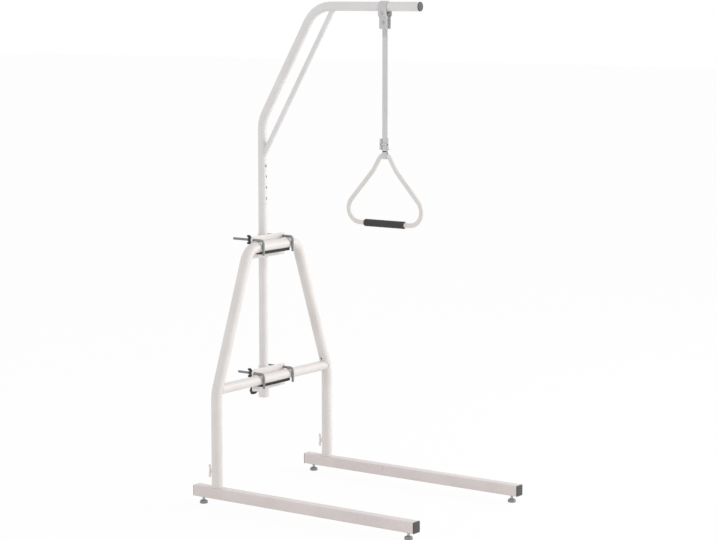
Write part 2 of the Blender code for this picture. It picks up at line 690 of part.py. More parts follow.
def snap_button():
    """A button on one leg of a V spring that presses on both sides of the spigot's bore."""
    centre = Vector((mast_x, 0, button_z))
    reach = mast_spigot_r - SPIGOT_WALL - GAP
    flank = reach - SPRING_STRIP
    corners = [
        centre + X * flank + Z * SPRING_RISE,
        centre + X * flank - Z * SPRING_RISE,
        centre - Z * SPRING_DROP,
        centre - X * flank - Z * SPRING_RISE,
        centre - X * flank + Z * SPRING_RISE,
    ]
    path = rounded_path(corners, [SPRING_BEND_RADIUS, SPRING_BEND_RADIUS, SPRING_BEND_RADIUS])
    edge = Y * SPRING_WIDTH / 2
    outline = [point - edge for point in ribbon(path, Y, SPRING_STRIP)]
    made = add("snap_button", prism(outline, edge * 2), spring_steel, centre)
    button_r = HOLE_DIAMETER / 2 - GAP
    tip = mast_r + BUTTON_PROUD
    profile = [(button_r, flank), (button_r, tip - BUTTON_CHAMFER), (button_r - BUTTON_CHAMFER, tip)]
    carve(made, loft(turned_rings(profile, centre, X, Y, BAR_SIDES)), "UNION")


# Boom: one bent tube with the adjusting holes, its brace and its end plug
def boom():
    foot = Vector((mast_x, 0, JOINT_HEIGHT + GAP))
    end = Vector((mast_x + BOOM_REACH, 0, BOOM_HEIGHT))
    corners = [
        foot,
        Vector((mast_x, 0, FIRST_BEND_HEIGHT)),
        Vector((mast_x + SECOND_BEND_REACH, 0, BOOM_HEIGHT)),
        end,
    ]
    path = rounded_path(corners, [BOOM_BEND_RADIUS, BOOM_BEND_RADIUS])
    made = add("boom_tube", tube(path, Y, MAST_DIAMETER, TUBE_WALL, TUBE_SIDES), paint, foot)
    for i in range(HOLE_COUNT):
        hole = Vector((mast_x, 0, button_z - i * HOLE_PITCH))
        carve(made, bar(hole, hole + X * MAST_DIAMETER, HOLE_DIAMETER, Y, BAR_SIDES))
    bore_r = mast_r - TUBE_WALL
    profile = [
        (mast_r - PLUG_CHAMFER, BOOM_PLUG_FLANGE),
        (mast_r, BOOM_PLUG_FLANGE - PLUG_CHAMFER),
        (mast_r, GAP),
        (bore_r - GAP, GAP),
        (bore_r - GAP, -BOOM_PLUG_DEPTH),
    ]
    add("boom_plug", loft(turned_rings(profile, end, X, Y, TUBE_SIDES)), black_plastic, end)
    low = Vector((mast_x, 0, BRACE_FOOT_HEIGHT))
    high = Vector((mast_x + BRACE_HEAD_REACH, 0, BOOM_HEIGHT))
    brace = add("boom_brace", tube([low, high], Y, BRACE_DIAMETER, BRACE_WALL, BAR_SIDES), paint, low)
    carve(brace, loft(rings_along(path, Y, mast_r + GAP, TUBE_SIDES)))


# Hanger: a steel strip bent over the boom and held by a bolt below it, with its two cheeks drawn
# in to a second bolt that carries the strap's ring
def hanger():
    origin = Vector((hanger_x, 0, BOOM_HEIGHT))
    side_y = mast_r + GAP + SADDLE_THICKNESS / 2
    neck_y = (SADDLE_NECK + SADDLE_THICKNESS) / 2
    cheek = [
        (-neck_y, -SADDLE_DROP),
        (-neck_y, -SADDLE_NECK_DROP),
        (-side_y, -SADDLE_SHOULDER),
        (-side_y, 0),
    ]
    corners = [origin - X * SADDLE_LENGTH / 2 + Y * y + Z * z for y, z in cheek]
    near = rounded_path(corners, [SADDLE_BEND_RADIUS, SADDLE_BEND_RADIUS])
    far = [Vector((p.x, -p.y, p.z)) for p in reversed(near)]
    step = Matrix.Rotation(-2 * pi / TUBE_SIDES, 3, X)
    arm = corners[-1] - Z * BOOM_HEIGHT
    crown = []
    for _ in range(TUBE_SIDES // 2 - 1):
        arm = step @ arm
        crown.append(arm + Z * BOOM_HEIGHT)
    outline = ribbon(near + crown + far, X, SADDLE_THICKNESS)
    made = add("hanger_saddle", prism(outline, X * SADDLE_LENGTH), paint, origin)
    for name, drop, middle_y in (
        ("saddle", SADDLE_BOLT_DROP, side_y),
        ("ring", RING_BOLT_DROP, neck_y),
    ):
        axis = Vector((hanger_x, 0, BOOM_HEIGHT - drop))
        reach = Y * (middle_y + SADDLE_THICKNESS)
        carve(made, bar(axis - reach, axis + reach, HANGER_BOLT_DIAMETER + 2 * GAP, X, ROD_SIDES))
        hanger_bolt(name, axis, middle_y + SADDLE_THICKNESS / 2)


def hanger_bolt(name, axis, cheek):
    shank_r = HANGER_BOLT_DIAMETER / 2
    head_r = HANGER_BOLT_HEAD / 2
    seat = cheek + GAP
    top = seat + HANGER_BOLT_HEAD_HEIGHT
    profile = [
        (head_r - HANGER_BOLT_CHAMFER, -top),
        (head_r, HANGER_BOLT_CHAMFER - top),
        (head_r, -seat),
        (shank_r, -seat),
        (shank_r, top + HANGER_BOLT_CHAMFER),
    ]
    rings = turned_rings(profile, axis, Y, X, ROD_SIDES)
    add(name + "_bolt", loft(rings), rod_steel, axis)
    bore_r = (shank_r + GAP) / cos(pi / 6)
    nut = [(bore_r, seat), (head_r, seat), (head_r, top), (bore_r, top)]
    rings = turned_rings(nut, axis, Y, X, 6)
    add(name + "_nut", loft(rings, closed=True), zinc, axis + Y * seat)


def hanger_ring():
    """The wire ring that hangs on the ring bolt and carries the strap on its lower bar."""
    width = STRAP_WIDTH + 2 * (STRAP_SIDE_PLAY + RING_CORNER_RADIUS)
    centre = Vector((hanger_x, 0, (ring_top_z + ring_bar_z) / 2))
    path = rounded_rectangle(centre, X, Z, width, RING_HEIGHT, RING_CORNER_RADIUS)
    rings = rings_along(path, Y, RING_WIRE / 2, ROD_SIDES, closed=True)
    add("hanger_ring", loft(rings, closed=True), rod_steel, Vector((hanger_x, 0, ring_bolt_z)))


# Strap: two layers of webbing with an eye at each end, and the slide that holds them together
def eye_arc(centre_z, radius, neck_half, neck, way, steps):
    """Round part of an eye from one tangent to the other, as (y, z); way is 1 with the neck above."""
    distance = sqrt(neck_half ** 2 + neck ** 2)
    start = atan2(neck, neck_half) - acos(radius / distance)
    sweep = pi + 2 * start
    angles = [start - sweep * i / steps for i in range(steps + 1)]
    return [(radius * cos(a), centre_z + way * radius * sin(a)) for a in angles]


def strap():
    left = Vector((hanger_x - STRAP_WIDTH / 2, 0, 0))
    low_bore = handle_r + GAP
    high_bore = RING_WIRE / 2 + GAP
    low_neck = handle_top_z + EYE_NECK
    high_neck = ring_bar_z - RING_EYE_NECK
    t = WEB_THICKNESS
    low_arc = eye_arc(handle_top_z, low_bore + t, t, EYE_NECK, 1, 14)
    high_arc = eye_arc(ring_bar_z, high_bore + t, t, RING_EYE_NECK, -1, 10)
    points = [(t, low_neck), *low_arc, (-t, low_neck), (-t, high_neck)]
    points += [*reversed(high_arc), (t, high_neck)]
    outline = [left + Y * y + Z * z for y, z in points]
    made = add("hanging_strap", prism(outline, X * STRAP_WIDTH), webbing, Vector((hanger_x, 0, ring_bar_z)))
    for centre_z, radius, neck, way in (
        (handle_top_z, low_bore, EYE_NECK - t * 2, 1),
        (ring_bar_z, high_bore, RING_EYE_NECK - t * 2, -1),
    ):
        arc = eye_arc(centre_z, radius, 0, neck, way, 12)
        hole = [left - X * t + Y * y + Z * z for y, z in [(0, centre_z + way * neck), *arc]]
        carve(made, prism(hole, X * (STRAP_WIDTH + 2 * t)))


def strap_slide():
    """Frame round the strap: one bar in front of it, two behind."""
    centre = Vector((hanger_x, 0, handle_top_z + SLIDE_RISE))
    channel_x = STRAP_WIDTH / 2 + STRAP_SIDE_PLAY
    channel_y = WEB_THICKNESS + GAP
    depth = channel_y + SLIDE_WALL
    front = centre - Y * depth
    outline = rounded_rectangle(front, X, Z, SLIDE_WIDTH, SLIDE_HEIGHT, SLIDE_CORNER_RADIUS)
    made = add("strap_slide", prism(outline, Y * depth * 2), zinc, centre)
    half = SLIDE_HEIGHT / 2
    cuts = (
        (-channel_y, channel_y, -half * 1.2, half * 1.2),
        (-depth * 1.2, 0, SLIDE_BAR / 2, half * 1.2),
        (-depth * 1.2, 0, -half * 1.2, -SLIDE_BAR / 2),
        (0, depth * 1.2, SLIDE_BAR - half, half - SLIDE_BAR),
    )
    for y0, y1, z0, z1 in cuts:
        low = centre + Vector((-channel_x, y0, z0))
        high = centre + Vector((channel_x, y1, z1))
        carve(made, box(low, high))


# Handle: a bent tube whose ends meet inside the grip
def handle():
    top = Vector((hanger_x, 0, handle_top_z))
    bottom = Vector((hanger_x, 0, grip_z))
    half = [
        bottom + X * HANDLE_SEAM / 2,
        bottom + X * HANDLE_FOOT_HALF,
        bottom + X * HANDLE_SHOULDER_HALF + Z * HANDLE_SHOULDER_HEIGHT,
        top + X * HANDLE_CROWN_HALF,
    ]
    corners = half + [Vector((2 * hanger_x - p.x, p.y, p.z)) for p in reversed(half)]
    radii = [HANDLE_CORNER_RADIUS, HANDLE_SHOULDER_RADIUS, HANDLE_CROWN_RADIUS]
    path = rounded_path(corners, radii + radii[::-1])
    add("handle_frame", tube(path, Y, HANDLE_DIAMETER, HANDLE_WALL, BAR_SIDES), paint, top)
    bore_r = handle_r + GAP
    outer_r = GRIP_DIAMETER / 2
    half = GRIP_LENGTH / 2
    profile = [
        (bore_r, -half),
        (outer_r - GRIP_CHAMFER, -half),
        (outer_r, GRIP_CHAMFER - half),
        (outer_r, half - GRIP_CHAMFER),
        (outer_r - GRIP_CHAMFER, half),
        (bore_r, half),
    ]
    rings = turned_rings(profile, bottom, X, Y, BAR_SIDES)
    add("handle_grip", loft(rings, closed=True), black_rubber, bottom)


for label, way in SIDES:
    leg(label, way)
    upright_lock(label, way)
a_frame()
cross_tube()
bracket("upper", TOP_TUBE_HEIGHT, tube_r, UPPER_HOOK_TAIL)
bracket("lower", CROSS_TUBE_HEIGHT, cross_r, LOWER_HOOK_TAIL)
upper_sleeve()
lower_sleeve()
mast_lock()
mast()
snap_button()
boom()
hanger()
hanger_ring()
strap()
strap_slide()
handle()
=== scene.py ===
from math import acos, atan2, ceil, cos, hypot, pi, radians, sin, sqrt, tan

import bmesh
import bpy
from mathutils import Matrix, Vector
from mathutils.bvhtree import BVHTree


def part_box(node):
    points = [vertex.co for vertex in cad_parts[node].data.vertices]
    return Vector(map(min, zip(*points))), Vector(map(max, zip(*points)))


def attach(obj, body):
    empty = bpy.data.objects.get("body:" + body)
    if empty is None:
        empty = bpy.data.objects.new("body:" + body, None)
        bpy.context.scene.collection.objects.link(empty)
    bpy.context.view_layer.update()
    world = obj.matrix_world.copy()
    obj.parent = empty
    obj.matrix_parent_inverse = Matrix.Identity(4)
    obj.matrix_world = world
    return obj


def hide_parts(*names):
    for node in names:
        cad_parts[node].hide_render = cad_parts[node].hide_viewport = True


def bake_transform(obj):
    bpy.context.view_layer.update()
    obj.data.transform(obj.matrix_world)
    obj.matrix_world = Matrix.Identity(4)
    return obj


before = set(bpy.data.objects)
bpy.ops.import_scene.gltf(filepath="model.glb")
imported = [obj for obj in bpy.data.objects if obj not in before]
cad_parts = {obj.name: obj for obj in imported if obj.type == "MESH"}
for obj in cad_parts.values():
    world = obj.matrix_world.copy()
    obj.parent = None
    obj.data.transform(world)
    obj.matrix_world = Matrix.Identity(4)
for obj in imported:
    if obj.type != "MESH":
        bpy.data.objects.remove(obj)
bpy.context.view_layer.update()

# Studio: a white floor and sky, one large soft light in front of the stand and a little to its far
# side, and a weak reflector on the near side, so that what faces the front of the legs is lightest.
# The camera is as far off as the photographer's.
X, Y, Z = Vector((1, 0, 0)), Vector((0, 1, 0)), Vector((0, 0, 1))


def linear(code):
    """Linear colour of an sRGB hex code."""
    parts = [int(code[i:i + 2], 16) / 255 for i in (1, 3, 5)]
    return [p / 12.92 if p <= 0.04045 else ((p + 0.055) / 1.055) ** 2.4 for p in parts] + [1.0]


def add_node(tree, kind, settings, inputs):
    """Adds a node with its own settings; an input is a value or the output that feeds it."""
    made = tree.nodes.new("ShaderNode" + kind)
    for name, value in settings.items():
        setattr(made, name, value)
    for name, value in inputs.items():
        if isinstance(value, bpy.types.NodeSocket):
            tree.links.new(value, made.inputs[name])
        else:
            made.inputs[name].default_value = value
    return made


def seen_white(tree):
    """1 for what the camera, a mirror or glass sees, and 0 for the light that falls on things."""
    path = add_node(tree, "LightPath", {}, {})
    shiny = add_node(tree, "Math", {"operation": "MAXIMUM"},
                     {0: path.outputs["Is Glossy Ray"], 1: path.outputs["Is Transmission Ray"]})
    return add_node(tree, "Math", {"operation": "MAXIMUM"},
                    {0: path.outputs["Is Camera Ray"], 1: shiny.outputs[0]}).outputs[0]


SKY_LIGHT = 0.80  # strength of the sky for the light that falls on things
FLOOR_GLOW = 0.94  # share of the floor's own white in what the camera sees of it
STAND_MIDDLE = Vector((0, 0, 0.8))
world = bpy.data.worlds.new("white studio")
bpy.context.scene.world = world
world.use_nodes = True
tree = world.node_tree
tree.nodes.clear()
level = add_node(tree, "MapRange", {}, {"Value": seen_white(tree), "To Min": SKY_LIGHT, "To Max": 1.0})
sky = add_node(tree, "Background", {}, {"Color": (1, 1, 1, 1), "Strength": level.outputs["Result"]})
out = add_node(tree, "OutputWorld", {}, {"Surface": sky.outputs[0]})

paper = bpy.data.materials.new("white studio floor")
paper.use_nodes = True
tree = paper.node_tree
tree.nodes.clear()
lit = add_node(tree, "BsdfDiffuse", {}, {"Color": linear("#f4f3f2")})
glow = add_node(tree, "Emission", {}, {"Color": (1, 1, 1, 1), "Strength": 1.0})
share = add_node(tree, "Math", {"operation": "MULTIPLY"}, {0: seen_white(tree), 1: FLOOR_GLOW})
mixed = add_node(tree, "MixShader", {}, {0: share.outputs[0], 1: lit.outputs[0], 2: glow.outputs[0]})
add_node(tree, "OutputMaterial", {}, {"Surface": mixed.outputs[0]})

floor_shape = bmesh.new()
bmesh.ops.create_grid(floor_shape, x_segments=1, y_segments=1, size=40)
floor_mesh = bpy.data.meshes.new("studio_floor")
floor_shape.to_mesh(floor_mesh)
floor_shape.free()
floor_mesh.materials.append(paper)
studio_floor = bpy.data.objects.new("studio_floor", floor_mesh)
studio_floor.location.z = -0.0004  # a hair under the glides
bpy.context.scene.collection.objects.link(studio_floor)

for name, place, size, power in (
    ("softbox in front", (3.5, 3.1, 2.0), 2.4, 118),
    ("reflector on the near side", (-1.6, -4.4, 2.2), 2.0, 16),
):
    lamp = bpy.data.lights.new(name, "AREA")
    lamp.shape = "SQUARE"
    lamp.size = size
    lamp.energy = power
    softbox = bpy.data.objects.new(name, lamp)
    softbox.location = place
    softbox.rotation_euler = (STAND_MIDDLE - Vector(place)).to_track_quat("-Z", "Y").to_euler()
    bpy.context.scene.collection.objects.link(softbox)

EYE = Vector((4.23565, -5.88507, 1.74745))
AIM = Vector((0.0085, 0, 0.8102))
lens = bpy.data.cameras.new("camera")
lens.lens = 107.75
lens.sensor_width = 36
camera = bpy.data.objects.new("camera", lens)
camera.location = EYE
camera.rotation_euler = (AIM - EYE).to_track_quat("-Z", "Y").to_euler()
bpy.context.scene.collection.objects.link(camera)
bpy.context.scene.camera = camera
bpy.context.scene.view_settings.view_transform = "Standard"


# Floor legs: two lengths of square steel tube, drilled below near each end, powder coated all over in
# a warm light grey. The coat gives a satin face with a very fine ripple and a few scuffs low down.
def coated_steel(name, light, dark, scuffs):
    """Powder coat on steel: satin, faintly rippled, a little uneven in tone, scuffed by use."""
    made = bpy.data.materials.new(name)
    made.use_nodes = True
    tree = made.node_tree
    shader = tree.nodes["Principled BSDF"]
    shader.inputs["IOR"].default_value = 1.5
    place = add_node(tree, "TexCoord", {}, {}).outputs["Object"]
    # slow drift of tone over a hand's breadth
    drift = add_node(tree, "TexNoise", {}, {"Vector": place, "Scale": 11.0, "Detail": 4.0})
    tone = add_node(tree, "MapRange", {}, {"Value": drift.outputs["Fac"], "From Min": 0.3, "From Max": 0.7})
    coat = add_node(tree, "Mix", {"data_type": "RGBA"},
                    {0: tone.outputs["Result"], 6: linear(dark), 7: linear(light)})
    # scuffs a few millimetres long, drawn out along the tubes' run
    stretched = add_node(tree, "Mapping", {}, {"Vector": place, "Scale": (160.0, 160.0, 60.0)})
    rub = add_node(tree, "TexNoise", {}, {"Vector": stretched.outputs["Vector"], "Scale": 1.0, "Detail": 5.0,
                                          "Roughness": 0.65})
    patch = add_node(tree, "TexNoise", {}, {"Vector": place, "Scale": 19.0, "Detail": 2.0})
    both = add_node(tree, "Math", {"operation": "MULTIPLY"}, {0: rub.outputs["Fac"], 1: patch.outputs["Fac"]})
    rubbed = add_node(tree, "MapRange", {}, {"Value": both.outputs[0], "From Min": 0.40, "From Max": 0.47,
                                             "To Max": scuffs})
    worn = add_node(tree, "Mix", {"data_type": "RGBA"},
                    {0: rubbed.outputs["Result"], 6: coat.outputs[2], 7: linear("#a39d99")})
    tree.links.new(worn.outputs[2], shader.inputs["Base Color"])
    gloss = add_node(tree, "MapRange", {}, {"Value": drift.outputs["Fac"], "To Min": 0.34, "To Max": 0.48})
    tree.links.new(gloss.outputs["Result"], shader.inputs["Roughness"])
    # the coat's ripple, about 2 mm from crest to crest
    ripple = add_node(tree, "TexNoise", {}, {"Vector": place, "Scale": 480.0, "Detail": 1.5})
    bump = add_node(tree, "Bump", {}, {"Height": ripple.outputs["Fac"], "Strength": 0.35, "Distance": 0.0002})
    tree.links.new(bump.outputs["Normal"], shader.inputs["Normal"])
    return made


def finish_node(name, material):
    """Gives a CAD node, whose shape stays as it is, its real finish."""
    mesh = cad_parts[name].data
    mesh.materials.clear()
    mesh.materials.append(material)


leg_coat = coated_steel("powder coated square tube, warm light grey", "#e0d7d5", "#d8cfcd", scuffs=0.5)
for side in ("near", "far"):
    finish_node("leg_" + side, leg_coat)


# End plugs of the legs: pushed-in polyethylene caps with a slightly domed face, dark grey and matt,
# with the fine spark grain of their mould.
def rounded(points, radius, closed=False, steps=4):
    """A flat line of (a, b) points with its corners rounded, less where a side is short."""
    count = len(points)
    line = []
    for i, point in enumerate(points):
        if not closed and i in (0, count - 1):
            line.append(point)
            continue
        here = Vector(point)
        back = Vector(points[i - 1]) - here
        ahead = Vector(points[(i + 1) % count]) - here
        half = back.angle(ahead) / 2
        if half > radians(86):  # as good as straight
            line.append(point)
            continue
        most = 0.48  # of a side, so that the rounds at its two ends never meet
        cut = min(radius / tan(half), back.length * most, ahead.length * most)
        start = here + back.normalized() * cut
        end = here + ahead.normalized() * cut
        for k in range(steps + 1):
            t = k / steps
            line.append(tuple(start * (1 - t) ** 2 + here * 2 * t * (1 - t) + end * t ** 2))
    return line


def rectangle(half_a, half_b):
    """The corners of a rectangle about its middle."""
    return [(half_a, half_b), (-half_a, half_b), (-half_a, -half_b), (half_a, -half_b)]


def skin(shape, rings, closed=False):
    """Adds a solid through rings of equal count: capped at both ends, or closed on itself."""
    loops = [[shape.verts.new(point) for point in ring] for ring in rings]
    pairs = list(zip(loops, loops[1:]))
    if closed:
        pairs.append((loops[-1], loops[0]))
    for first, second in pairs:
        for i, corner in enumerate(first):
            j = (i + 1) % len(first)
            shape.faces.new((corner, first[j], second[j], second[i]))
    if not closed:
        shape.faces.new(loops[0][::-1])
        shape.faces.new(loops[-1])
    bmesh.ops.recalc_face_normals(shape, faces=shape.faces)
    return shape


def add_piece(name, shape, material, body, crease=40):
    """Makes a piece of a shape that is drawn in place, and lets it ride on its body, if it has one."""
    mesh = bpy.data.meshes.new(name)
    shape.to_mesh(mesh)
    shape.free()
    mesh.materials.append(material)
    mesh.shade_smooth()
    mesh.set_sharp_from_angle(angle=radians(crease))
    made = bpy.data.objects.new(name, mesh)
    bpy.context.scene.collection.objects.link(made)
    if body:
        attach(made, body)
    return made


def moulded(name, colour, roughness, grain_scale, grain_depth):
    """Moulded plastic or rubber: one colour, slightly cloudy, with the grain of its mould."""
    made = bpy.data.materials.new(name)
    made.use_nodes = True
    tree = made.node_tree
    shader = tree.nodes["Principled BSDF"]
    shader.inputs["IOR"].default_value = 1.5
    place = add_node(tree, "TexCoord", {}, {}).outputs["Object"]
    cloud = add_node(tree, "TexNoise", {}, {"Vector": place, "Scale": 70.0, "Detail": 3.0})
    base = linear(colour)
    tone = add_node(tree, "MapRange", {}, {"Value": cloud.outputs["Fac"], "To Min": 0.82, "To Max": 1.18})
    shade = add_node(tree, "VectorMath", {"operation": "SCALE"},
                     {0: base[:3], "Scale": tone.outputs["Result"]})
    tree.links.new(shade.outputs[0], shader.inputs["Base Color"])
    matt = add_node(tree, "MapRange", {}, {"Value": cloud.outputs["Fac"], "To Min": roughness - 0.08,
                                           "To Max": roughness + 0.08})
    tree.links.new(matt.outputs["Result"], shader.inputs["Roughness"])
    grain = add_node(tree, "TexNoise", {}, {"Vector": place, "Scale": grain_scale, "Detail": 2.0})
    bump = add_node(tree, "Bump", {},
                    {"Height": grain.outputs["Fac"], "Strength": 0.5, "Distance": grain_depth})
    tree.links.new(bump.outputs["Normal"], shader.inputs["Normal"])
    return made


plug_plastic = moulded("moulded polyethylene, dark grey", "#464445", roughness=0.55,
                       grain_scale=1600.0, grain_depth=0.0001)
PLUG_SIDE = 0.0381
PLUG_CORNER = 0.004
for side in ("near", "far"):
    for end, sign in (("rear", -1), ("front", 1)):
        node = f"leg_plug_{end}_{side}"
        low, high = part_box(node)
        middle = (low + high) / 2
        face_x = high.x if sign > 0 else low.x
        rings = []
        # flange from the tube's end to the crown of its domed face: (depth behind the crown, side)
        for depth, size in ((0.0027, PLUG_SIDE), (0.0016, PLUG_SIDE), (0.0010, 0.0377), (0.0006, 0.0369),
                            (0.0004, 0.0350), (0.0002, 0.026), (0.0, 0.012)):
            outline = []
            corner = PLUG_CORNER * size / PLUG_SIDE
            for y, z in rounded(rectangle(size / 2, size / 2), corner, closed=True, steps=5):
                outline.append(Vector((face_x - sign * depth, middle.y + y, middle.z + z)))
            rings.append(outline)
        cap = add_piece("end_cap_" + node, skin(bmesh.new(), rings), plug_plastic, "stand", crease=30)
        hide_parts(node)


# Glides: low round pads of moulded grey nylon under the ends of the legs. Each sits on a zinc plated
# steel stem that goes up into the leg and turns with it.
def circle(centre, side, up, radius, sides):
    """Points round a centre, in the plane of side and up."""
    return [centre + (side * cos(2 * pi * i / sides) + up * sin(2 * pi * i / sides)) * radius
            for i in range(sides)]


def turned(shape, profile, foot, axis, side, sides, closed=False):
    """Adds what a profile of (radius, reach) draws when it is turned about an axis."""
    up = axis.cross(side)
    rings = [circle(foot + axis * reach, side, up, radius, sides) for radius, reach in profile]
    return skin(shape, rings, closed)


TIP = 0.0004  # radius of the small flat that closes a turned shape on its axis


def plated_steel(name, colour, roughness, streak):
    """Plated steel: bright metal with soft patches where the plate is duller, and fine drawing marks."""
    made = bpy.data.materials.new(name)
    made.use_nodes = True
    tree = made.node_tree
    shader = tree.nodes["Principled BSDF"]
    shader.inputs["Metallic"].default_value = 1.0
    place = add_node(tree, "TexCoord", {}, {}).outputs["Object"]
    cloud = add_node(tree, "TexNoise", {}, {"Vector": place, "Scale": 90.0, "Detail": 4.0})
    base = linear(colour)
    tone = add_node(tree, "MapRange", {}, {"Value": cloud.outputs["Fac"], "To Min": 0.86, "To Max": 1.12})
    shade = add_node(tree, "VectorMath", {"operation": "SCALE"},
                     {0: base[:3], "Scale": tone.outputs["Result"]})
    tree.links.new(shade.outputs[0], shader.inputs["Base Color"])
    dull = add_node(tree, "MapRange", {}, {"Value": cloud.outputs["Fac"], "To Min": roughness - 0.1,
                                           "To Max": roughness + 0.14})
    tree.links.new(dull.outputs["Result"], shader.inputs["Roughness"])
    drawn = add_node(tree, "Mapping", {}, {"Vector": place, "Scale": streak})
    marks = add_node(tree, "TexNoise", {}, {"Vector": drawn.outputs["Vector"], "Scale": 1.0, "Detail": 2.0})
    bump = add_node(tree, "Bump", {}, {"Height": marks.outputs["Fac"], "Strength": 0.25, "Distance": 0.0001})
    tree.links.new(bump.outputs["Normal"], shader.inputs["Normal"])
    return made


glide_polymer = moulded("moulded nylon, mid grey", "#909092", roughness=0.5, grain_scale=1300.0,
                        grain_depth=0.0001)
stem_zinc = plated_steel("zinc plated steel, dull", "#a9aaab", roughness=0.38, streak=(900.0, 900.0, 200.0))
for end in ("rear", "front"):
    for side in ("near", "far"):
        node = f"glide_foot_{end}_{side}"
        low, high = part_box(node)
        foot = Vector(((low.x + high.x) / 2, (low.y + high.y) / 2, 0))
        pad = rounded([(TIP, 0.0), (0.0132, 0.0), (0.0140, 0.0009), (0.0140, 0.0066), (0.0112, 0.0108),
                       (0.0062, 0.0120), (0.0050, 0.0120)], radius=0.0014)
        base = add_piece("glide_pad_" + node, turned(bmesh.new(), pad, foot, Z, X, sides=40), glide_polymer,
                         f"glide_{end}_{side}")
        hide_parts(node)
        stem = rounded([(0.0046, 0.0118), (0.0046, 0.0217), (0.0080, 0.0219), (0.0080, 0.0244),
                        (0.0049, 0.0246), (0.0049, 0.0380)], radius=0.0005)
        add_piece("glide_stem_" + node, turned(bmesh.new(), stem, foot, Z, X, sides=32), stem_zinc,
                  f"glide_{end}_{side}")


# A-frame: one bent round tube that makes both uprights and the short top, and a level cross tube
# welded between the uprights. The welds are run by hand, with their ripples painted over.
def surface_of(name):
    """A CAD node's surface, for finding where another piece meets it."""
    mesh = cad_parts[name].data
    return BVHTree.FromPolygons([v.co.copy() for v in mesh.vertices],
                                [tuple(p.vertices) for p in mesh.polygons])


def meeting_line(surface, foot, way, side, radius, count):
    """Where rays on a cylinder about a line through foot strike a surface, going one way."""
    up = way.cross(side)
    hits = []
    for start in circle(foot, side, up, radius, count):
        place = surface.ray_cast(start, way)[0]
        if place:
            hits.append(place)
    return hits


def weld(name, line, radius, pitch, body, closed=True):
    """A weld bead along a line of points, swelling at each ripple."""
    ripple = 0.16  # of the bead's radius
    count = len(line)
    rings = []
    run = 0.0
    for i, point in enumerate(line):
        before = line[i - 1] if closed or i else point
        after = line[(i + 1) % count] if closed or i + 1 < count else point
        along = (after - before).normalized()
        side = along.cross(Z) if abs(along.z) < 0.9 else along.cross(X)
        side.normalize()
        swell = radius * (1 + ripple * sin(2 * pi * run / pitch))
        rings.append(circle(point, side, along.cross(side), swell, sides=8))
        run += (after - point).length
    return add_piece(name, skin(bmesh.new(), rings, closed), tube_coat, body, crease=60)


tube_coat = coated_steel("powder coated round tube, warm light grey", "#e4dfdc", "#dcd7d4", scuffs=0.35)
WELD_OFF = 0.0004  # how far outside a tube's wall the rays run that find the line of its weld
for node in ("a_frame_tube", "cross_tube", "upright_boss_near", "upright_boss_far"):
    finish_node(node, tube_coat)
a_frame = surface_of("a_frame_tube")
low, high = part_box("cross_tube")
cross_middle = (low + high) / 2
cross_radius = (high.z - low.z) / 2
for side, way in (("near", -1), ("far", 1)):
    line = meeting_line(a_frame, cross_middle, Y * way, X, cross_radius + WELD_OFF, count=110)
    weld("weld_cross_tube_" + side, line, radius=0.0021, pitch=0.0032, body="stand")


# Foot of each upright: it slips over a plated stub welded on the leg, and a wing screw, coated like the
# frame, in a welded boss behind it locks it there.
def wings(shape, hub_front, reach, span, root, blade):
    """Adds a pair of pressed wings behind a hub, drawn as (share of the reach, rise)."""
    tip = span / 2
    outline = [(0.22, root - tip), (0.36, -tip), (1.0, root * 0.5 - tip), (0.60, 0),
               (1.0, tip - root * 0.5), (0.36, tip), (0.22, tip - root)]
    flat = rounded([(share * reach, rise) for share, rise in outline], radius=0.006, closed=True, steps=6)
    layers = []
    # the blade thins at its rim, so that its edge is round
    centre_depth = reach * 0.5
    for across, shrink in ((-0.5, 0.93), (-0.36, 1.0), (0.36, 1.0), (0.5, 0.93)):
        layers.append([hub_front - X * (centre_depth + (depth - centre_depth) * shrink)
                       + Z * z * (0.5 + shrink / 2) + Y * blade * across for depth, z in flat])
    return skin(shape, layers)


bright_zinc = plated_steel("zinc plated steel, bright", "#c6c7c9", roughness=0.30,
                           streak=(300.0, 900.0, 900.0))
lug_coat = coated_steel("powder coated wing screw, warm light grey", "#ebe5e3", "#e1dbd9", scuffs=0.4)
for side in ("near", "far"):
    finish_node("leg_spigot_" + side, bright_zinc)
    low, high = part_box("upright_boss_" + side)
    axis = Vector((low.x, (low.y + high.y) / 2, (low.z + high.z) / 2))
    behind = axis - X * 0.02
    ring = meeting_line(a_frame, behind, X, Y, (high.z - low.z) / 2 + WELD_OFF, count=60)
    weld("weld_boss_" + side, ring, radius=0.0011, pitch=0.0026, body="stand")
    seat = Vector((axis.x - 0.002, axis.y, axis.z))  # the screw's collar, 2 mm off the boss
    shape = bmesh.new()
    hub = rounded([(0.0040, -0.0300), (0.0040, 0.0), (0.0065, 0.0), (0.0055, 0.0070), (TIP, 0.0078)],
                  radius=0.0009)
    turned(shape, hub, seat, -X, Y, sides=32)
    wings(shape, seat, reach=0.013, span=0.050, root=0.0104, blade=0.003)
    screw = add_piece("wing_screw_" + side, shape, lug_coat, "upright_lock_" + side, crease=50)
    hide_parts("upright_screw_" + side)


